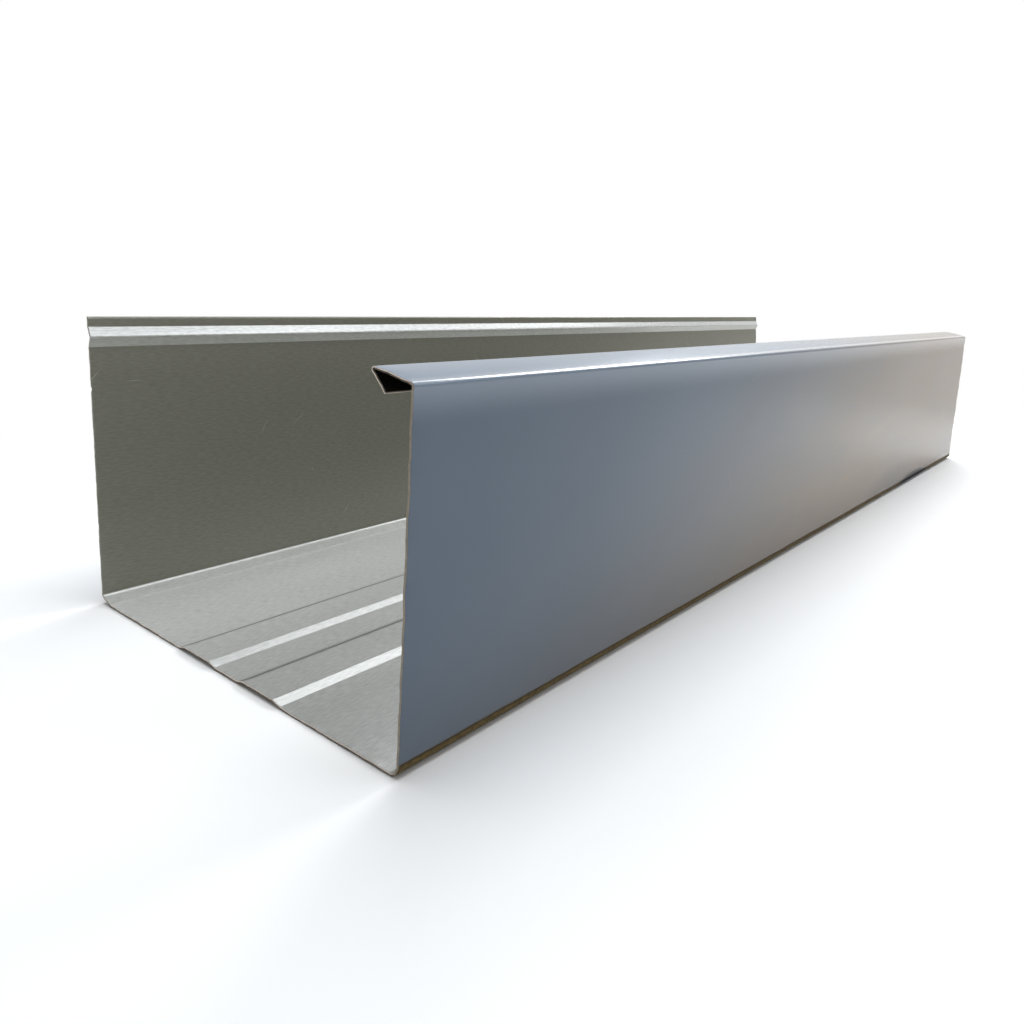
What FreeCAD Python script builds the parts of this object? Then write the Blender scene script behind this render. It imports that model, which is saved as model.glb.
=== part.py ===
import FreeCAD, Part
import math
import os

# Box gutter: a length of roll-formed gutter bent from one strip of prepainted steel sheet.
# Frame, mm: +X along the gutter, +Y towards the back wall (the wall side), +Z up.
# Origin: on the underside of the base, at mid-length and midway between the two bottom corners.

# --- the strip -------------------------------------------------------------------------------------
SHEET = 0.55            # steel thickness
LENGTH = 450.0          # length of the piece, cut square at both ends

# --- base ------------------------------------------------------------------------------------------
BASE_WIDTH = 125.0      # between the outside faces of the two walls, carried down to the underside
RIB_HEIGHT = 0.6        # how far the two stiffening ribs stand up from the base
RIB_WIDTH = 16.8        # of one rib across its two toes
RIB_FLANK = 2.8         # width of each sloped side of a rib
RIB_PITCH = 26.6        # between the middles of the two ribs
RIB_OFFSET = -2.7       # midpoint of the pair of ribs, measured from the middle of the base
CANT_WIDTH = 5.4        # strip beside the back wall over which the base turns up
CANT_RISE = 1.7         # height of that canted strip where it meets the back wall
CANT_BEND = 2.0         # inside radius between the canted strip and the flat base

# --- walls -----------------------------------------------------------------------------------------
BACK_HEIGHT = 81.2      # top edge of the back wall above the underside
BACK_SPLAY = 3.5        # degrees, the back wall leans out
FRONT_HEIGHT = 75.0     # corner of the front wall and the flange above the underside
FRONT_SPLAY = 2.1       # degrees, the front wall leans out
BACK_BEND = 1.0         # inside radius between the back wall and the canted strip
FRONT_BEND = 2.3        # inside radius between the base and the front wall

# --- stiffening bead along the top of the back wall --------------------------------------------------
BEAD_MIDDLE = 75.5      # height of the bead's nose above the underside
BEAD_SPAN = 5.3         # height of the bead from its lower to its upper crease
BEAD_DEPTH = 1.2        # how far the nose stands into the gutter
BEAD_BEND = 0.5         # inside radius of the creases of the bead and of the ribs

# --- crowned flange and return lip along the top of the front wall ------------------------------------
FLANGE_REACH = 12.75    # from the front corner to the fold, measured level
FLANGE_RISE_AT_WALL = 14.5   # degrees, slope of the flange where it leaves the wall
FLANGE_RISE_AT_FOLD = 6.5    # degrees, slope where it meets the fold
FLANGE_BEND = 0.7       # inside radius of the bend between wall and flange
FOLD_BEND = 0.2         # inside radius of the fold between flange and lip
LIP_LENGTH = 7.0        # along the return lip
LIP_LEAN = 41.0         # degrees, the lip slants back towards the front wall


def back_face(height, inward=0.0):
    """A point of the back wall's outside face at a height, moved into the gutter by inward."""
    lean = math.radians(BACK_SPLAY)
    y = BASE_WIDTH / 2 + height * math.tan(lean) - inward * math.cos(lean)
    z = height + inward * math.sin(lean)
    return (y, z)


def back_wall_corners():
    """Top edge, the three creases of the V-shaped bead, from the top down."""
    return [
        (back_face(BACK_HEIGHT), None),
        (back_face(BEAD_MIDDLE + BEAD_SPAN / 2), BEAD_BEND),
        (back_face(BEAD_MIDDLE, BEAD_DEPTH), BEAD_BEND),
        (back_face(BEAD_MIDDLE - BEAD_SPAN / 2), BEAD_BEND),
    ]


def rib_corners(middle):
    """Toe, shoulder, shoulder, toe of one rib, from the back to the front."""
    toe = RIB_WIDTH / 2
    shoulder = toe - RIB_FLANK
    return [
        ((middle + toe, 0.0), BEAD_BEND),
        ((middle + shoulder, RIB_HEIGHT), BEAD_BEND),
        ((middle - shoulder, RIB_HEIGHT), BEAD_BEND),
        ((middle - toe, 0.0), BEAD_BEND),
    ]


def base_corners():
    """Back corner, foot of the canted strip, the two ribs, front corner."""
    corners = [(back_face(CANT_RISE), BACK_BEND), ((BASE_WIDTH / 2 - CANT_WIDTH, 0.0), CANT_BEND)]
    corners += rib_corners(RIB_OFFSET + RIB_PITCH / 2)
    corners += rib_corners(RIB_OFFSET - RIB_PITCH / 2)
    corners.append(((-BASE_WIDTH / 2, 0.0), FRONT_BEND))
    return corners


def front_rim_corners():
    """Front wall corner, crown of the flange, fold, free edge of the lip."""
    wall_y = -BASE_WIDTH / 2 - FRONT_HEIGHT * math.tan(math.radians(FRONT_SPLAY))
    first = math.tan(math.radians(FLANGE_RISE_AT_WALL))
    last = math.tan(math.radians(FLANGE_RISE_AT_FOLD))
    half = FLANGE_REACH / 2
    crown = (wall_y + half, FRONT_HEIGHT + half * first)
    fold = (wall_y + FLANGE_REACH, crown[1] + half * last)
    lean = math.radians(LIP_LEAN)
    edge = (fold[0] - LIP_LENGTH * math.sin(lean), fold[1] - LIP_LENGTH * math.cos(lean))
    turn = math.radians(FLANGE_RISE_AT_WALL - FLANGE_RISE_AT_FOLD)
    crown_radius = 0.62 * half / math.tan(turn / 2)
    return [
        ((wall_y, FRONT_HEIGHT), FLANGE_BEND),
        (crown, crown_radius),
        (fold, FOLD_BEND),
        (edge, None),
    ]


def unit(a, b):
    """Direction from a to b."""
    run = math.hypot(b[0] - a[0], b[1] - a[1])
    return ((b[0] - a[0]) / run, (b[1] - a[1]) / run)


def side_corners(points, depth):
    """The corners of a line parallel to points, at a depth to the right of the walk along them."""
    ways = [unit(a, b) for a, b in zip(points, points[1:])]
    moved = []
    for i, point in enumerate(points):
        before = ways[max(i - 1, 0)]
        after = ways[min(i, len(ways) - 1)]
        normal = (before[1] + after[1], -before[0] - after[0])
        scale = depth * 2 / (normal[0] ** 2 + normal[1] ** 2)
        moved.append((point[0] + normal[0] * scale, point[1] + normal[1] * scale))
    return moved


def side_edges(points, radii, x):
    """Straight legs joined by tangent arcs; radii[i] rounds points[i]."""
    edges = []
    start = FreeCAD.Vector(x, *points[0])
    for i in range(1, len(points) - 1):
        here = FreeCAD.Vector(x, *points[i])
        back = (FreeCAD.Vector(x, *points[i - 1]) - here).normalize()
        on = (FreeCAD.Vector(x, *points[i + 1]) - here).normalize()
        half = back.getAngle(on) / 2
        reach = radii[i] / math.tan(half)
        bisector = (back + on).normalize()
        middle = here + bisector * (radii[i] / math.sin(half) - radii[i])
        enter = here + back * reach
        leave = here + on * reach
        edges.append(Part.LineSegment(start, enter).toShape())
        edges.append(Part.Arc(enter, middle, leave).toShape())
        start = leave
    edges.append(Part.LineSegment(start, FreeCAD.Vector(x, *points[-1])).toShape())
    return edges


def turns_right(points, i):
    """Whether the walk bends to the right, towards the inside of the gutter, at points[i]."""
    a = unit(points[i - 1], points[i])
    b = unit(points[i], points[i + 1])
    return a[0] * b[1] - a[1] * b[0] < 0


def bent_strip(corners, x):
    """The section: a band of the sheet's thickness with concentric arcs at every bend."""
    outside = [corner for corner, bend in corners]
    inside = side_corners(outside, SHEET)
    outside_radii = [0.0] * len(corners)
    inside_radii = [0.0] * len(corners)
    for i in range(1, len(corners) - 1):
        bend = corners[i][1]
        right = turns_right(outside, i)
        outside_radii[i] = bend + SHEET if right else bend
        inside_radii[i] = bend if right else bend + SHEET
    outer = side_edges(outside, outside_radii, x)
    inner = side_edges(inside, inside_radii, x)
    ends = [
        Part.LineSegment(FreeCAD.Vector(x, *outside[0]), FreeCAD.Vector(x, *inside[0])).toShape(),
        Part.LineSegment(FreeCAD.Vector(x, *outside[-1]), FreeCAD.Vector(x, *inside[-1])).toShape(),
    ]
    wire = Part.Wire(Part.__sortEdges__(outer + inner + ends))
    return Part.Face(wire)


def box_gutter():
    """The whole gutter, walked from the back wall's top edge round to the lip's free edge."""
    corners = back_wall_corners() + base_corners() + front_rim_corners()
    section = bent_strip(corners, -LENGTH / 2)
    return section.extrude(FreeCAD.Vector(LENGTH, 0, 0))


os.makedirs("parts", exist_ok=True)
gutter = box_gutter()
gutter.exportStep("parts/box_gutter.step")
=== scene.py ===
import math

import bpy
from mathutils import Matrix, Vector


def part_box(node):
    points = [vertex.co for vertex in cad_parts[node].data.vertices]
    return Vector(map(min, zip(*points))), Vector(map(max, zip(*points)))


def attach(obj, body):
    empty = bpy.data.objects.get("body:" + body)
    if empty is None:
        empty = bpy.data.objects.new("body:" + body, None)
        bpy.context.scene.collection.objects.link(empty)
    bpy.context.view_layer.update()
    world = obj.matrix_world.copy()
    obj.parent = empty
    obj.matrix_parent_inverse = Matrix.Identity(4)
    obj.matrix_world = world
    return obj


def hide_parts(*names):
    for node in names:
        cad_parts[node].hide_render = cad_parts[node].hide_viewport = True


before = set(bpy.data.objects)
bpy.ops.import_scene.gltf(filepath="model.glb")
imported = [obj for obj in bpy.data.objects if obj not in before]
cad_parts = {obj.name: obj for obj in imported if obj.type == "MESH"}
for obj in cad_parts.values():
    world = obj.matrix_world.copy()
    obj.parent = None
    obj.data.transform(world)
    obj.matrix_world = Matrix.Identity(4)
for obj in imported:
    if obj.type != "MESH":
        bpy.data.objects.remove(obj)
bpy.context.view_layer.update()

# --- Section of the strip ----------------------------------------------------------------------------
# A box gutter is rolled from one strip of 0.55 mm steel: back wall with a stiffening bead, flat base
# with two low ribs, front wall, then a crowned flange folded back into a return lip.
# The section is walked from the back wall's top edge to the lip's free edge, on the painted side.

low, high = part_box("box_gutter")
length = high.x - low.x

sheet = 0.00055
base_width = 0.125

bead_below_top = 0.0057
bead_span = 0.0053
bead_depth = 0.0012
crease_radius = 0.0005

cant_width = 0.0054
cant_rise = 0.0017
cant_radius = 0.0020
back_radius = 0.0010
front_radius = 0.0023
rib_height = 0.0006
rib_width = 0.0168
rib_flank = 0.0028
rib_pitch = 0.0266
rib_offset = -0.0027

front_height = 0.075
front_splay = math.radians(2.1)
flange_reach = 0.01275
flange_rise_at_wall = math.radians(14.5)
flange_rise_at_fold = math.radians(6.5)
flange_radius = 0.0007
fold_radius = 0.0002
lip_length = 0.0070
lip_lean = math.radians(41.0)

back_splay = math.radians(3.5)
back_height = 0.0812


def back_face(height, inward=0.0):
    """A point of the back wall's painted face, moved into the gutter by inward."""
    y = base_width / 2 + height * math.tan(back_splay) - inward * math.cos(back_splay)
    return Vector((y, low.z + height + inward * math.sin(back_splay)))


def section_corners():
    """Corners of the painted side with the inside radius of the bend at each."""
    nose = back_height - bead_below_top
    walk = [
        (back_face(back_height), 0.0),
        (back_face(nose + bead_span / 2), crease_radius),
        (back_face(nose, bead_depth), crease_radius),
        (back_face(nose - bead_span / 2), crease_radius),
        (back_face(cant_rise), back_radius),
        (Vector((base_width / 2 - cant_width, low.z)), cant_radius),
    ]
    toe = rib_width / 2
    shoulder = toe - rib_flank
    for middle in (rib_offset + rib_pitch / 2, rib_offset - rib_pitch / 2):
        for across, up in ((toe, 0.0), (shoulder, rib_height), (-shoulder, rib_height), (-toe, 0.0)):
            walk.append((Vector((middle + across, low.z + up)), crease_radius))
    walk.append((Vector((-base_width / 2, low.z)), front_radius))
    wall = Vector((-base_width / 2 - front_height * math.tan(front_splay), low.z + front_height))
    half = flange_reach / 2
    crown = wall + Vector((half, half * math.tan(flange_rise_at_wall)))
    fold = crown + Vector((half, half * math.tan(flange_rise_at_fold)))
    edge = fold - Vector((lip_length * math.sin(lip_lean), lip_length * math.cos(lip_lean)))
    turn = flange_rise_at_wall - flange_rise_at_fold
    crown_radius = 0.62 * half / math.tan(turn / 2)
    walk += [(wall, flange_radius), (crown, crown_radius), (fold, fold_radius), (edge, 0.0)]
    return walk


def painted_side_radii(walk):
    """Radius on the painted side: a bend towards the inside adds the sheet's thickness."""
    radii = [0.0]
    for (a, _), (b, bend), (c, _) in zip(walk, walk[1:], walk[2:]):
        before, after = b - a, c - b
        turns_in = before.x * after.y - before.y * after.x < 0
        radii.append(bend + sheet if turns_in else bend)
    return radii + [0.0]


walk = section_corners()
bead_top, bead_tip, bead_foot, back_corner = 1, 2, 3, 4
rib_toes = (6, 10)
front_corner, flange_corner = 14, 15

outline = bpy.data.meshes.new("section_corners")
outline.from_pydata(
    [(0.0, point.x, point.y) for point, bend in walk],
    [(i, i + 1) for i in range(len(walk) - 1)],
    [],
)
bend_radius = outline.attributes.new("bend_radius", "FLOAT", "POINT")
bend_radius.data.foreach_set("value", painted_side_radii(walk))
gutter = bpy.data.objects.new("gutter_strip", outline)
bpy.context.scene.collection.objects.link(gutter)


# --- Rolling, folding and snipping the strip -----------------------------------------------------------
# The roll former bends the flat strip round its length, and the piece is then snipped off by hand, so
# both ends are a little ragged: shallow bites, a curled edge and a burr.


def node(tree, kind, inputs=None, **settings):
    """Adds a node: settings are its properties, inputs its sockets by name or number."""
    made = tree.nodes.new(kind)
    for name, value in settings.items():
        setattr(made, name, value)
    for name, source in (inputs or {}).items():
        if isinstance(name, str):
            socket = [s for s in made.inputs if s.enabled and s.name == name][0]
        else:
            socket = made.inputs[name]
        if isinstance(source, Measure):
            source = source.socket
        if isinstance(source, bpy.types.NodeSocket):
            tree.links.new(source, socket)
        else:
            socket.default_value = source
    return made


class Measure:
    """A number that changes from point to point, so that sums of it can be written as sums."""

    def __init__(self, tree, socket):
        self.tree = tree
        self.socket = socket

    def reckon(self, operation, *others):
        inputs = dict(enumerate((self, *others)))
        made = node(self.tree, "ShaderNodeMath", inputs, operation=operation)
        return Measure(self.tree, made.outputs[0])

    def __add__(self, other):
        return self.reckon("ADD", other)

    def __sub__(self, other):
        return self.reckon("SUBTRACT", other)

    def __mul__(self, other):
        return self.reckon("MULTIPLY", other)

    def __truediv__(self, other):
        return self.reckon("DIVIDE", other)

    def fade(self, start, end):
        """0 at start and beyond, 1 at end and beyond, with a soft change between."""
        inputs = {"Value": self, "From Min": start, "From Max": end}
        made = node(self.tree, "ShaderNodeMapRange", inputs, interpolation_type="SMOOTHSTEP")
        return Measure(self.tree, made.outputs[0])


def noise(tree, place, scale, detail=2.0):
    """Even random variation of about 0 to 1 over a place."""
    inputs = {"Vector": place, "Scale": scale, "Detail": detail}
    return Measure(tree, node(tree, "ShaderNodeTexNoise", inputs).outputs[0])


def vector(tree, x, y, z):
    return node(tree, "ShaderNodeCombineXYZ", {"X": x, "Y": y, "Z": z}).outputs[0]


def vector_sum(tree, a, b):
    return node(tree, "ShaderNodeVectorMath", {0: a, 1: b}, operation="ADD").outputs[0]


def scaled(tree, a, scale):
    inputs = {"Vector": a, "Scale": scale}
    return node(tree, "ShaderNodeVectorMath", inputs, operation="SCALE").outputs[0]


# waves to the metre of the snips' bites and curl and of the sheet's own unevenness
fine_bites = 900.0
wide_bites = 110.0
deep_nicks = 260.0
curl_waves = 160.0
sheet_waves = 24.0
same_point = 1e-7

strip_inputs = {
    "Half Length": ("NodeSocketFloat", length / 2),
    "Sheet": ("NodeSocketFloat", sheet),
    "Bend Steps": ("NodeSocketInt", 9),
    "Leg Step": ("NodeSocketFloat", 0.0009),
    "Stations": ("NodeSocketInt", 73),
    "Bite Depth": ("NodeSocketFloat", 0.00055),
    "Bite Reach": ("NodeSocketFloat", 0.0035),
    "Curl": ("NodeSocketFloat", 0.00030),
    "Oil Canning": ("NodeSocketFloat", 0.00022),
    "Lowest": ("NodeSocketVector", low),
    "Highest": ("NodeSocketVector", high),
    "Paint": ("NodeSocketMaterial", None),
    "Bare Metal": ("NodeSocketMaterial", None),
    "Cut Edge": ("NodeSocketMaterial", None),
}


def rolled_strip_tree():
    """Rounds the corners, rolls the section out along the gutter, gives it its thickness and ends."""
    tree = bpy.data.node_groups.new("rolled_strip", "GeometryNodeTree")
    tree.interface.new_socket("Section", in_out="INPUT", socket_type="NodeSocketGeometry")
    for name, (kind, value) in strip_inputs.items():
        tree.interface.new_socket(name, in_out="INPUT", socket_type=kind)
    tree.interface.new_socket("Gutter", in_out="OUTPUT", socket_type="NodeSocketGeometry")
    given = node(tree, "NodeGroupInput").outputs

    def measure(socket):
        return Measure(tree, socket)

    # the section, rounded at its bends and stepped along its flats
    index = measure(node(tree, "GeometryNodeInputIndex").outputs[0])
    here = node(tree, "GeometryNodeInputPosition").outputs[0]
    bend = node(tree, "GeometryNodeInputNamedAttribute", {"Name": "bend_radius"}, data_type="FLOAT")
    curve = node(tree, "GeometryNodeMeshToCurve", {"Mesh": given["Section"]})
    inputs = {"Curve": curve.outputs[0], "Count": given["Bend Steps"], "Radius": bend.outputs[0]}
    rounded = node(tree, "GeometryNodeFilletCurve", inputs, mode="POLY")
    inputs = {"Value": here, "Index": index + 1}
    ahead = node(tree, "GeometryNodeFieldAtIndex", inputs, data_type="FLOAT_VECTOR")
    gap = node(tree, "ShaderNodeVectorMath", {0: here, 1: ahead.outputs[0]}, operation="DISTANCE")
    cuts = (measure(gap.outputs["Value"]) / given["Leg Step"]).reckon("FLOOR")
    inputs = {"Curve": rounded.outputs[0], "Cuts": cuts}
    section = node(tree, "GeometryNodeSubdivideCurve", inputs).outputs[0]
    size = node(tree, "GeometryNodeAttributeDomainSize", {0: section}, component="CURVE")
    count = measure(size.outputs["Point Count"])

    def on_section(value, number, kind):
        inputs = {"Geometry": section, "Value": value, "Index": number}
        sampled = node(tree, "GeometryNodeSampleIndex", inputs, data_type=kind, domain="POINT")
        return sampled.outputs[0]

    tangent = node(tree, "GeometryNodeInputTangent").outputs[0]
    inputs = {0: tangent, 1: (1.0, 0.0, 0.0)}
    inward = node(tree, "ShaderNodeVectorMath", inputs, operation="CROSS_PRODUCT")
    developed = node(tree, "GeometryNodeSplineParameter").outputs["Length"]

    def place(grid, number, side, along):
        """Sets a grid's points: number on the section, side 0 painted or 1 bare, along -1 to 1."""
        spot = on_section(here, number, "FLOAT_VECTOR")
        into = on_section(inward.outputs[0], number, "FLOAT_VECTOR")
        across = measure(on_section(developed, number, "FLOAT"))
        end = along.reckon("SIGN")
        from_end = along.reckon("ABSOLUTE").reckon("MULTIPLY_ADD", -1.0, 1.0)
        from_end = from_end * from_end * given["Half Length"]
        ragged = (from_end / given["Bite Reach"]).reckon("MULTIPLY_ADD", -1.0, 1.0)
        ragged = ragged.reckon("MAXIMUM", 0.0)
        ragged = ragged * ragged

        # bites of the snips, each face of the sheet a little apart from the other
        snipped = vector(tree, across, end, side * 0.0004)
        fine = noise(tree, snipped, fine_bites, 3.0)
        wide = noise(tree, snipped, wide_bites)
        nick = noise(tree, snipped, deep_nicks).fade(0.60, 0.74)
        bite = fine * 0.35 + wide * 0.30 + nick * 0.75
        bite = bite * ragged * given["Bite Depth"]
        x = (measure(given["Half Length"]) - from_end - bite) * end

        # the edge curled by the snips, and the flat sheet's slight waves, long along the gutter
        curl = noise(tree, vector(tree, across, end, 5.0), curl_waves, 3.0).fade(0.35, 0.75)
        curl = curl * ragged * given["Curl"]
        ripple = vector(tree, x * 0.35, across, 3.0)
        canned = noise(tree, ripple, sheet_waves, 1.0).fade(0.25, 0.75) * given["Oil Canning"]
        depth = side * given["Sheet"] + curl + canned

        there = vector_sum(tree, spot, scaled(tree, into, depth))
        there = vector_sum(tree, there, vector(tree, x, 0.0, 0.0))
        inputs = {0: there, 1: given["Highest"]}
        kept_in = node(tree, "ShaderNodeVectorMath", inputs, operation="MINIMUM")
        inputs = {0: kept_in.outputs[0], 1: given["Lowest"]}
        kept_in = node(tree, "ShaderNodeVectorMath", inputs, operation="MAXIMUM")
        inputs = {"Geometry": grid, "Position": kept_in.outputs[0]}
        moved = node(tree, "GeometryNodeSetPosition", inputs).outputs[0]
        for name, value, kind in (
            ("strip", vector(tree, x, across, side), "FLOAT_VECTOR"),
            ("from_end", from_end.socket, "FLOAT"),
        ):
            inputs = {"Geometry": moved, "Name": name, "Value": value}
            settings = {"data_type": kind, "domain": "POINT"}
            moved = node(tree, "GeometryNodeStoreNamedAttribute", inputs, **settings).outputs[0]
        return moved

    def finished(faces, chosen, name, smooth):
        inputs = {"Geometry": faces, "Selection": chosen, "Material": given[name]}
        faces = node(tree, "GeometryNodeSetMaterial", inputs).outputs[0]
        inputs = {"Geometry": faces, "Selection": chosen, "Shade Smooth": smooth}
        return node(tree, "GeometryNodeSetShadeSmooth", inputs).outputs[0]

    # both faces and the two slit edges, as one band round the section
    around = count * 2 + 1
    inputs = {"Vertices X": given["Stations"], "Vertices Y": around}
    band = node(tree, "GeometryNodeMeshGrid", inputs).outputs[0]
    row = (index / around).reckon("FLOOR")
    column = index.reckon("MODULO", around)
    column = column.reckon("MODULO", count * 2)
    side = column.reckon("LESS_THAN", count).reckon("MULTIPLY_ADD", -1.0, 1.0)
    number = side * (count * 2 - 1 - column) + (side.reckon("MULTIPLY_ADD", -1.0, 1.0)) * column
    along = (row / (measure(given["Stations"]) - 1)).reckon("MULTIPLY_ADD", 2.0, -1.0)
    band = place(band, number, side, along)
    face_column = index.reckon("MODULO", count * 2)
    band = finished(band, True, "Cut Edge", False)
    painted = face_column.reckon("LESS_THAN", count - 1)
    band = finished(band, painted, "Paint", True)
    past_paint = face_column.reckon("GREATER_THAN", count - 0.5)
    bare = past_paint * face_column.reckon("LESS_THAN", count * 2 - 1.5)
    band = finished(band, bare, "Bare Metal", True)

    # the two snipped ends
    parts = [band]
    for end in (-1.0, 1.0):
        inputs = {"Vertices X": 2, "Vertices Y": count}
        cap = node(tree, "GeometryNodeMeshGrid", inputs).outputs[0]
        side = (index / count).reckon("FLOOR")
        number = index.reckon("MODULO", count)
        cap = place(cap, number, side, side * 0.0 + end)
        if end < 0:
            cap = node(tree, "GeometryNodeFlipFaces", {"Mesh": cap}).outputs[0]
        parts.append(finished(cap, True, "Cut Edge", False))
    join = node(tree, "GeometryNodeJoinGeometry")
    for part in reversed(parts):
        tree.links.new(part, join.inputs[0])
    inputs = {"Geometry": join.outputs[0], "Distance": same_point}
    closed = node(tree, "GeometryNodeMergeByDistance", inputs).outputs[0]
    real = node(tree, "GeometryNodeRealizeInstances", {"Geometry": closed}).outputs[0]
    node(tree, "NodeGroupOutput", {"Gutter": real})
    return tree


# --- Finishes of the strip --------------------------------------------------------------------------
# Coil-coated steel: a satin blue-grey paint on the outside, bare zinc-aluminium with its lengthwise
# mill grain on the inside, and raw snipped steel with a little rust at the ends.


def group_of(name, inputs, outputs):
    """An empty shader node group with float inputs and outputs."""
    tree = bpy.data.node_groups.new(name, "ShaderNodeTree")
    for title, value in inputs.items():
        socket = tree.interface.new_socket(title, in_out="INPUT", socket_type="NodeSocketFloat")
        socket.default_value = value
    for title in outputs:
        tree.interface.new_socket(title, in_out="OUTPUT", socket_type="NodeSocketFloat")
    return tree


def strip_place(tree):
    """Place on the flattened strip: along it, across it, and which face."""
    return node(tree, "ShaderNodeAttribute", attribute_name="strip").outputs["Vector"]


def mill_grain_group():
    """Fine streaks that the rolls leave along the strip, and a soft mottle."""
    faces_apart = 7.0
    mottle_along = 16.0
    mottle_across = 70.0
    names = {"Streak Length": 0.02, "Streak Width": 0.0006}
    tree = group_of("mill_grain", names, ("Streaks", "Mottle"))
    given = node(tree, "NodeGroupInput").outputs
    parts = node(tree, "ShaderNodeSeparateXYZ", {"Vector": strip_place(tree)}).outputs
    along = Measure(tree, parts["X"])
    across = Measure(tree, parts["Y"])
    face = Measure(tree, parts["Z"]) * faces_apart
    stretched = vector(tree, along / given["Streak Length"], across / given["Streak Width"], face)
    streaks = noise(tree, stretched, 1.0, 3.0)
    broad = vector(tree, along * mottle_along, across * mottle_across, face)
    mottle = noise(tree, broad, 1.0, 4.0)
    node(tree, "NodeGroupOutput", {"Streaks": streaks, "Mottle": mottle})
    return tree


def handling_marks_group():
    """Short scratches that lie where the sheet was slid and knocked: each cell holds at most one."""
    angle_spread = 2.4
    bow_spread = 30.0
    reach_in_cell = 0.20
    names = {"Cell": 0.02, "Share": 0.3, "Width": 0.0001}
    tree = group_of("handling_marks", names, ("Scratches",))
    given = node(tree, "NodeGroupInput").outputs
    cells = Measure(tree, given["Cell"]).reckon("POWER", -1.0)
    inputs = {"Vector": strip_place(tree), "Scale": cells}
    pattern = node(tree, "ShaderNodeTexVoronoi", inputs, voronoi_dimensions="3D")
    chance = node(tree, "ShaderNodeSeparateColor", {"Color": pattern.outputs["Color"]}).outputs
    apart = {0: strip_place(tree), 1: pattern.outputs["Position"]}
    offset = node(tree, "ShaderNodeVectorMath", apart, operation="SUBTRACT").outputs[0]
    angle = (Measure(tree, chance["Red"]) - 0.5) * angle_spread
    inputs = {"Vector": offset, "Angle": angle}
    turned = node(tree, "ShaderNodeVectorRotate", inputs, rotation_type="Z_AXIS").outputs[0]
    parts = node(tree, "ShaderNodeSeparateXYZ", {"Vector": turned}).outputs
    along = Measure(tree, parts["X"])
    bow = along * along * ((Measure(tree, chance["Blue"]) - 0.5) * bow_spread)
    across = (Measure(tree, parts["Y"]) + bow).reckon("ABSOLUTE")
    line = across.fade(given["Width"], 0.0)
    ends = along.reckon("ABSOLUTE").fade(Measure(tree, given["Cell"]) * reach_in_cell, 0.0)
    there = Measure(tree, chance["Green"]).reckon("LESS_THAN", given["Share"])
    node(tree, "NodeGroupOutput", {"Scratches": line * ends * there})
    return tree


mill_grain = mill_grain_group()
handling_marks = handling_marks_group()


def new_material(name):
    made = bpy.data.materials.new(name)
    made.use_nodes = True
    made.node_tree.nodes.clear()
    return made


def mixed(tree, share, first, second):
    """A colour between two others."""
    inputs = {"Factor": share, "A": first, "B": second}
    return node(tree, "ShaderNodeMix", inputs, data_type="RGBA").outputs["Result"]


def grain(tree, streak_length, streak_width):
    inputs = {"Streak Length": streak_length, "Streak Width": streak_width}
    made = tree.nodes.new("ShaderNodeGroup")
    made.node_tree = mill_grain
    for name, value in inputs.items():
        made.inputs[name].default_value = value
    return Measure(tree, made.outputs["Streaks"]), Measure(tree, made.outputs["Mottle"])


def scratches(tree, cell, share, width):
    made = tree.nodes.new("ShaderNodeGroup")
    made.node_tree = handling_marks
    for name, value in {"Cell": cell, "Share": share, "Width": width}.items():
        made.inputs[name].default_value = value
    return Measure(tree, made.outputs["Scratches"])


def finish_surface(tree, colour, roughness, height, bump_distance, **constants):
    """The Principled shader with its output; constants go on its own sockets."""
    inputs = {"Height": height, "Distance": bump_distance, "Strength": 1.0}
    relief = node(tree, "ShaderNodeBump", inputs).outputs[0]
    inputs = {"Base Color": colour, "Roughness": roughness, "Normal": relief}
    inputs.update(constants)
    surface = node(tree, "ShaderNodeBsdfPrincipled", inputs)
    node(tree, "ShaderNodeOutputMaterial", {"Surface": surface.outputs[0]})


def run_to(corner):
    """How far across the flat strip a corner lies, from the back wall's top edge."""
    return sum((b[0] - a[0]).length for a, b in zip(walk, walk[1:corner + 1]))


bead_start = run_to(bead_top)
bead_nose = run_to(bead_tip)
bead_end = run_to(bead_foot)
back_wall_end = (walk[back_corner][0] - walk[0][0]).length
front_wall_start = run_to(front_corner)
front_wall_end = run_to(flange_corner)


def oval(along, up, middle, height, reach_along, reach_up):
    """1 in the middle of an oval patch on the front wall, 0 at its rim."""
    a = (along - middle) / reach_along
    b = (up - height) / reach_up
    return (a * a + b * b).fade(1.0, 0.0)


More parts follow.
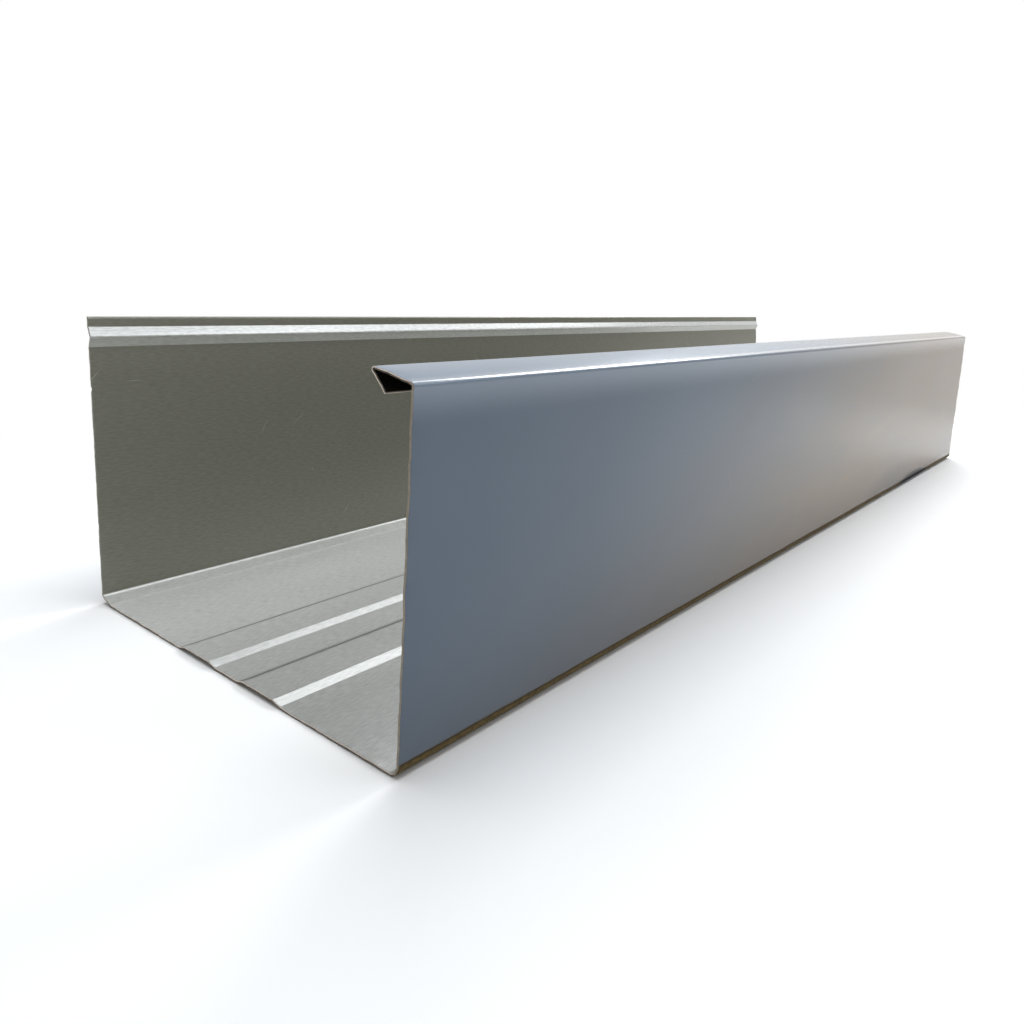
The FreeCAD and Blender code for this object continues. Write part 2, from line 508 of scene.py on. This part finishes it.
def satin_paint():
    """Blue-grey coil coat: satin, with faint rub marks, dust and a painted warm reflection towards one
    end, a painted sheen under the top bend, and a painted reflection of brown ground on the bottom bend
    with soil underneath.
    """
    made = new_material("satin_blue_grey_paint")
    tree = made.node_tree
    deep_blue = (0.082, 0.115, 0.160, 1.0)
    pale_blue = (0.092, 0.127, 0.175, 1.0)
    painted_sheen_blue = (0.200, 0.258, 0.330, 1.0)
    ochre_dust_and_reflection = (0.275, 0.190, 0.095, 1.0)
    grey_painted_shade = (0.080, 0.078, 0.080, 1.0)
    scratched_paint = (0.24, 0.27, 0.31, 1.0)
    dark_soil_and_reflection = (0.072, 0.044, 0.004, 1.0)
    pale_soil_and_reflection = (0.130, 0.085, 0.014, 1.0)
    band_top_shade = (0.035, 0.022, 0.006, 1.0)
    black_patch = (0.010, 0.008, 0.009, 1.0)
    sheen_band = 0.010
    rubbed_edge = 0.001
    brown_band_top = 0.0033

    # where each mark lies: along the gutter, up the front wall, across the flat strip
    spot = node(tree, "ShaderNodeTexCoord").outputs["Object"]
    parts = node(tree, "ShaderNodeSeparateXYZ", {"Vector": spot}).outputs
    along = Measure(tree, parts["X"])
    up = Measure(tree, parts["Z"])
    front = Measure(tree, parts["Y"]).fade(0.0, -0.03)
    flat = node(tree, "ShaderNodeSeparateXYZ", {"Vector": strip_place(tree)}).outputs
    across = Measure(tree, flat["Y"])
    streaks, mottle = grain(tree, streak_length=0.05, streak_width=0.0012)
    peel = noise(tree, strip_place(tree), 2600.0, 2.0)
    cloud = noise(tree, strip_place(tree), 14.0, 2.0)
    soil_and_reflection_mottle = noise(tree, strip_place(tree), 700.0, 3.0)
    ragged = (noise(tree, strip_place(tree), 200.0, 3.0) - 0.5) * 0.0004

    # painted sheen: the paint grows lighter over the last 10 mm below the fold into the flange and stays
    # lighter over the flange and lip; the top of the front wall up to the fold is rubbed glossy
    bend_sheen = across.fade(front_wall_end - sheen_band, front_wall_end)
    rubbed = bend_sheen * across.fade(front_wall_end + rubbed_edge, front_wall_end - rubbed_edge)
    marks = scratches(tree, cell=0.030, share=0.16, width=0.00009)
    # ochre dust and a painted warm reflection, growing towards the far end and low down
    dust_and_warm_reflection = (along - up * 2.2).fade(-0.30, 0.02) * (mottle * 0.5 + 0.6)

    # brown on the bottom bend and underneath: a painted reflection of brown ground, with soil on the
    # underside and a line of painted shade below its top; a patch of painted shade and a black patch low
    # on the front wall
    level = up + ragged
    soil_and_reflection = level.fade(brown_band_top, brown_band_top - 0.0003)
    band_top_shade_mask = level.fade(brown_band_top - 0.0010, brown_band_top - 0.0004) * soil_and_reflection
    # painted shade: a soft grey patch low on the front wall towards the far end
    shade_patch = oval(along, up + ragged * 6.0, middle=0.100, height=0.003, reach_along=0.050, reach_up=0.012)
    shade_patch = shade_patch * front
    loose_along = along + ragged * 8.0
    loose_up = up + ragged * 2.0
    # a black patch close to the floor on the front wall, towards the far end
    dark_patch = oval(loose_along, loose_up, middle=0.140, height=0.0012, reach_along=0.034, reach_up=0.0050)
    dark_patch = dark_patch * front

    colour = mixed(tree, cloud.fade(0.3, 0.7), deep_blue, pale_blue)
    colour = mixed(tree, bend_sheen * 0.75, colour, painted_sheen_blue)
    colour = mixed(tree, dust_and_warm_reflection * 0.75, colour, ochre_dust_and_reflection)
    colour = mixed(tree, shade_patch * 0.4, colour, grey_painted_shade)
    colour = mixed(tree, marks * 0.5, colour, scratched_paint)
    soil_and_reflection_colour = mixed(tree, soil_and_reflection_mottle.fade(0.35, 0.65), dark_soil_and_reflection, pale_soil_and_reflection)
    soil_and_reflection_colour = mixed(tree, band_top_shade_mask * 0.8, soil_and_reflection_colour, band_top_shade)
    colour = mixed(tree, soil_and_reflection, colour, soil_and_reflection_colour)
    colour = mixed(tree, dark_patch.fade(0.1, 0.5), colour, black_patch)
    roughness = mottle * 0.05 + streaks * 0.03 + 0.20 + soil_and_reflection * 0.55 + dark_patch * 0.2
    height = peel + streaks * 0.4
    coat = {"Coat Weight": rubbed, "Coat Roughness": 0.15}
    finish_surface(tree, colour, roughness, height, bump_distance=0.000004, **coat)
    return made


def rib_flank_shade(across, toe):
    """A fine dark line of painted shade down the back flank of a rib."""
    flank = (walk[toe + 1][0] - walk[toe][0]).length
    middle = run_to(toe) + flank / 2
    line_edge, line_core = 0.00075, 0.00025
    return (across - middle).reckon("ABSOLUTE").fade(line_edge, line_core)


def bare_zinc_aluminium():
    """Bright bare coating, dulled by storage: short mill dashes, pale scratches, and painted shade: olive
    on both walls, darker across the base towards the front wall, in fine lines on the rib flanks and near
    black in the hollow under the flange.
    """
    made = new_material("bare_zinc_aluminium")
    tree = made.node_tree
    dull_lit_near_back_wall = (0.66, 0.67, 0.66, 1.0)
    clean_lit_near_back_wall = (0.92, 0.93, 0.92, 1.0)
    dull_shaded_near_front_wall = (0.41, 0.415, 0.40, 1.0)
    clean_shaded_near_front_wall = (0.56, 0.565, 0.55, 1.0)
    olive_painted_shade = (0.086, 0.082, 0.022, 1.0)
    painted_flank_shade = (0.10, 0.10, 0.09, 1.0)
    unlit_hollow = (0.012, 0.011, 0.010, 1.0)
    bright_scratch = (0.80, 0.80, 0.78, 1.0)
    front_shade_margin = 0.02
    hollow_start = 0.008
    soft = 0.0003

    streaks, mottle = grain(tree, streak_length=0.0024, streak_width=0.00042)
    marks = scratches(tree, cell=0.017, share=0.20, width=0.00009)
    parts = node(tree, "ShaderNodeSeparateXYZ", {"Vector": strip_place(tree)}).outputs
    across = Measure(tree, parts["Y"])

    # painted shade in an olive tint darkens both walls; it is lighter on the bead and light on the canted
    # strip
    above_bead = across.fade(bead_start + soft, bead_start - soft)
    bead_slope = across.fade(bead_nose - soft, bead_nose + soft)
    below_bead = across.fade(bead_end - soft, bead_end + soft)
    to_foot = across.fade(back_wall_end + soft, back_wall_end - soft)
    cant_end = back_wall_end + cant_width
    cant = across.fade(cant_end + soft, cant_end - soft) - to_foot
    front = across.fade(front_wall_start - soft, front_wall_start + soft)
    wall_shade = above_bead + bead_slope * to_foot * (below_bead * 0.40 + 0.60) + cant * 0.28 + front

    # painted shade: the base darkens towards the front wall, which shades it, fully from 20 mm before the
    # wall
    front_wall_shade = across.fade(back_wall_end, front_wall_start - front_shade_margin)
    hollow = across.fade(front_wall_end - hollow_start, front_wall_end - hollow_start / 2)
    flank_shade = rib_flank_shade(across, rib_toes[0]) + rib_flank_shade(across, rib_toes[1])
    dull = mixed(tree, front_wall_shade, dull_lit_near_back_wall, dull_shaded_near_front_wall)
    clean = mixed(tree, front_wall_shade, clean_lit_near_back_wall, clean_shaded_near_front_wall)
    colour = mixed(tree, streaks.fade(0.30, 0.70) * 0.7 + mottle * 0.3, dull, clean)
    colour = mixed(tree, wall_shade * 0.74, colour, olive_painted_shade)
    colour = mixed(tree, flank_shade * 0.75, colour, painted_flank_shade)
    colour = mixed(tree, hollow * 0.93, colour, unlit_hollow)
    colour = mixed(tree, marks * 0.7, colour, bright_scratch)
    roughness = mottle * 0.08 + streaks * 0.06 + 0.24 + wall_shade * 0.08
    metallic = front_wall_shade * 0.15 + 0.50
    height = streaks + mottle * 0.5
    finish_surface(tree, colour, roughness, height, bump_distance=0.000010, Metallic=metallic)
    return made


def snipped_steel():
    """Sheared edge: a thin pale rim where the blade came out, a dark tear deepened to near black as
    painted shade, nicks, burrs and rust.
    """
    made = new_material("snipped_steel_edge")
    tree = made.node_tree
    dark_tear_and_shade = (0.020, 0.012, 0.006, 1.0)
    brown_tear_and_shade = (0.075, 0.045, 0.020, 1.0)
    dull_shear = (0.17, 0.15, 0.11, 1.0)
    bright_shear = (0.33, 0.29, 0.22, 1.0)
    rust = (0.40, 0.20, 0.10, 1.0)
    dull_rim = (0.46, 0.38, 0.30, 1.0)
    bright_rim = (0.80, 0.72, 0.62, 1.0)
    nick_shade = (0.016, 0.010, 0.006, 1.0)
    burr_glint = (0.88, 0.86, 0.82, 1.0)

    place = strip_place(tree)
    parts = node(tree, "ShaderNodeSeparateXYZ", {"Vector": place}).outputs
    across = Measure(tree, parts["Y"])
    side = Measure(tree, parts["Z"])
    fleck = noise(tree, place, 1500.0, 3.0)
    patch = noise(tree, place, 150.0, 2.0)
    nick = noise(tree, place, 210.0, 1.0).fade(0.63, 0.67)
    burr = noise(tree, place, 520.0, 1.0).fade(0.67, 0.72)
    ragged = (noise(tree, place, 330.0, 3.0) - 0.5) * 1.2

    # the rim lies on the bare side of the base and on the painted side of the flange; the tear beside it
    # is painted near black as shade, where the base lifts off the floor and in the hollow under the
    # flange
    base_rim = (side + ragged).fade(0.30, 0.60)
    flange_rim = (side + ragged * 0.4).fade(0.55, 0.30)
    on_base = across.fade(back_wall_end, back_wall_end + 0.003)
    on_front = across.fade(front_wall_start - 0.003, front_wall_start)
    on_flange = across.fade(front_wall_end - 0.001, front_wall_end)

    tear_and_shade = mixed(tree, fleck.fade(0.35, 0.65), dark_tear_and_shade, brown_tear_and_shade)
    sheared = mixed(tree, fleck.fade(0.35, 0.65), dull_shear, bright_shear)
    rusty = mixed(tree, patch.fade(0.58, 0.68), sheared, rust)
    rim = mixed(tree, fleck.fade(0.30, 0.55), dull_rim, bright_rim)
    colour = mixed(tree, on_base, sheared, mixed(tree, base_rim, tear_and_shade, rim))
    colour = mixed(tree, on_front, colour, rusty)
    colour = mixed(tree, on_flange, colour, mixed(tree, flange_rim, tear_and_shade, rim))
    colour = mixed(tree, nick, colour, nick_shade)
    colour = mixed(tree, burr, colour, burr_glint)
    finish_surface(tree, colour, fleck * 0.2 + 0.5, fleck, bump_distance=0.00004, Metallic=0.2)
    return made


strip_inputs["Paint"] = ("NodeSocketMaterial", satin_paint())
strip_inputs["Bare Metal"] = ("NodeSocketMaterial", bare_zinc_aluminium())
strip_inputs["Cut Edge"] = ("NodeSocketMaterial", snipped_steel())

rolling = gutter.modifiers.new("rolled_strip", "NODES")
rolling.node_group = rolled_strip_tree()
sockets = {item.name: item.identifier for item in rolling.node_group.interface.items_tree}
for name, (kind, value) in strip_inputs.items():
    rolling[sockets[name]] = value
bpy.context.view_layer.update()
seen = gutter.evaluated_get(bpy.context.evaluated_depsgraph_get())
rolled = bpy.data.meshes.new_from_object(seen)
gutter.modifiers.clear()
gutter.data = rolled
rolled.name = "gutter_strip"

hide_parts("box_gutter")
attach(gutter, "root")


# --- Floor ------------------------------------------------------------------------------------------
# A plain white studio floor. Round the gutter it is matt paint that takes the shadow, and farther off
# it turns into an even white glow, so no edge shows where it meets the white side of the room.

floor_radius = 6.0
floor_sides = 96
shadow_reach = 0.06
blend_reach = 0.28
floor_mesh = bpy.data.meshes.new("studio_floor")
turns = [math.tau * i / floor_sides for i in range(floor_sides)]
rim = [(math.cos(turn) * floor_radius, math.sin(turn) * floor_radius, low.z) for turn in turns]
floor_mesh.from_pydata(rim, [], [list(range(floor_sides))])
floor = bpy.data.objects.new("studio_floor", floor_mesh)
bpy.context.scene.collection.objects.link(floor)


def white_floor():
    made = new_material("white_floor")
    tree = made.node_tree
    place = node(tree, "ShaderNodeTexCoord").outputs["Object"]
    foot = node(tree, "ShaderNodeVectorMath", {0: place}, operation="ABSOLUTE").outputs[0]
    corner = (high.x, high.y, 0.0)
    out = node(tree, "ShaderNodeVectorMath", {0: foot, 1: corner}, operation="SUBTRACT").outputs[0]
    out = node(tree, "ShaderNodeVectorMath", {0: out, 1: (0.0, 0.0, 0.0)}, operation="MAXIMUM")
    run = node(tree, "ShaderNodeVectorMath", {0: out.outputs[0]}, operation="LENGTH").outputs["Value"]
    far = Measure(tree, run).fade(shadow_reach, blend_reach)
    matt = node(tree, "ShaderNodeBsdfDiffuse", {"Color": (0.93, 0.93, 0.93, 1.0)}).outputs[0]
    glow = node(tree, "ShaderNodeEmission", {"Color": (1.0, 1.0, 1.0, 1.0), "Strength": 1.0}).outputs[0]
    both = node(tree, "ShaderNodeMixShader", {0: far, 1: matt, 2: glow}).outputs[0]
    node(tree, "ShaderNodeOutputMaterial", {"Surface": both})
    return made


floor_mesh.materials.append(white_floor())


# --- Light ------------------------------------------------------------------------------------------
# A plain room: white behind the gutter, pale grey elsewhere, with a dim ceiling. Softboxes hang overhead,
# high behind the gutter, in front of it and off its far end, so every bend catches a clean line of light.

white_bearing = math.radians(70.0)
white_edge = 0.34
ceiling_starts, ceiling_full = 0.39, 0.60
white_wall = (1.0, 1.0, 1.0, 1.0)
grey_wall = (0.36, 0.35, 0.34, 1.0)
dim_ceiling = (0.25, 0.265, 0.29, 1.0)
daylight = (0.97, 0.99, 1.0)

room = bpy.data.worlds.new("studio_room")
room.use_nodes = True
bpy.context.scene.world = room
tree = room.node_tree
tree.nodes.clear()
way = node(tree, "ShaderNodeTexCoord").outputs["Generated"]
up = Measure(tree, node(tree, "ShaderNodeSeparateXYZ", {"Vector": way}).outputs["Z"])
behind_gutter = (math.cos(white_bearing), math.sin(white_bearing), 0.0)
facing = node(tree, "ShaderNodeVectorMath", {0: way, 1: behind_gutter}, operation="DOT_PRODUCT")
behind = Measure(tree, facing.outputs["Value"]).fade(0.0, white_edge)
walls = mixed(tree, behind, grey_wall, white_wall)
glow = mixed(tree, up.fade(ceiling_starts, ceiling_full), walls, dim_ceiling)
background = node(tree, "ShaderNodeBackground", {"Color": glow, "Strength": 1.0})
node(tree, "ShaderNodeOutputWorld", {"Surface": background.outputs[0]})


def softbox(name, bearing, height, away, width, depth, power):
    """An area light on a bearing and a height in degrees, facing the gutter from a distance."""
    lamp = bpy.data.lights.new(name, "AREA")
    lamp.shape = "RECTANGLE"
    lamp.size = width
    lamp.size_y = depth
    lamp.energy = power
    lamp.color = daylight
    made = bpy.data.objects.new(name, lamp)
    level = math.cos(math.radians(height))
    x = level * math.cos(math.radians(bearing))
    y = level * math.sin(math.radians(bearing))
    made.location = Vector((x, y, math.sin(math.radians(height)))) * away
    made.rotation_euler = (-made.location).to_track_quat("-Z", "Y").to_euler()
    made.visible_camera = False
    bpy.context.scene.collection.objects.link(made)


softbox("overhead_softbox", bearing=0.0, height=90.0, away=1.5, width=1.0, depth=1.0, power=12.5)
softbox("back_softbox", bearing=42.0, height=53.0, away=1.3, width=0.50, depth=0.50, power=1.7)
softbox("front_strip_softbox", bearing=-62.0, height=42.0, away=1.3, width=0.62, depth=0.34, power=1.8)
softbox("end_softbox", bearing=4.0, height=42.0, away=1.3, width=0.85, depth=0.50, power=10.5)


# --- Camera -----------------------------------------------------------------------------------------
# It stands a hand's breadth off the near end, just above the rim, and looks along the front wall.

beyond_end = 0.0951
out_from_corner = 0.1042
eye_height = 0.0903
look_turn = math.radians(39.86)
look_down = math.radians(6.65)
head_tilt = math.radians(1.76)

lens = bpy.data.cameras.new("camera")
lens.sensor_width = 36.0
lens.lens = 28.23
lens.shift_y = -0.119
lens.clip_start = 0.01
camera = bpy.data.objects.new("camera", lens)
forward = Vector((math.cos(look_turn), math.sin(look_turn), 0.0))
aside = Vector((math.sin(look_turn), -math.cos(look_turn), 0.0))
upright = Vector((0.0, 0.0, 1.0))
ahead = forward * math.cos(look_down) - upright * math.sin(look_down)
crown = upright * math.cos(look_down) + forward * math.sin(look_down)
right = aside * math.cos(head_tilt) + crown * math.sin(head_tilt)
crown = crown * math.cos(head_tilt) - aside * math.sin(head_tilt)
stand = Vector((low.x - beyond_end, -base_width / 2 - out_from_corner, low.z + eye_height))
camera.matrix_world = Matrix.Translation(stand) @ Matrix((right, crown, -ahead)).transposed().to_4x4()
bpy.context.scene.collection.objects.link(camera)
bpy.context.scene.camera = camera
bpy.context.scene.view_settings.view_transform = "Standard"
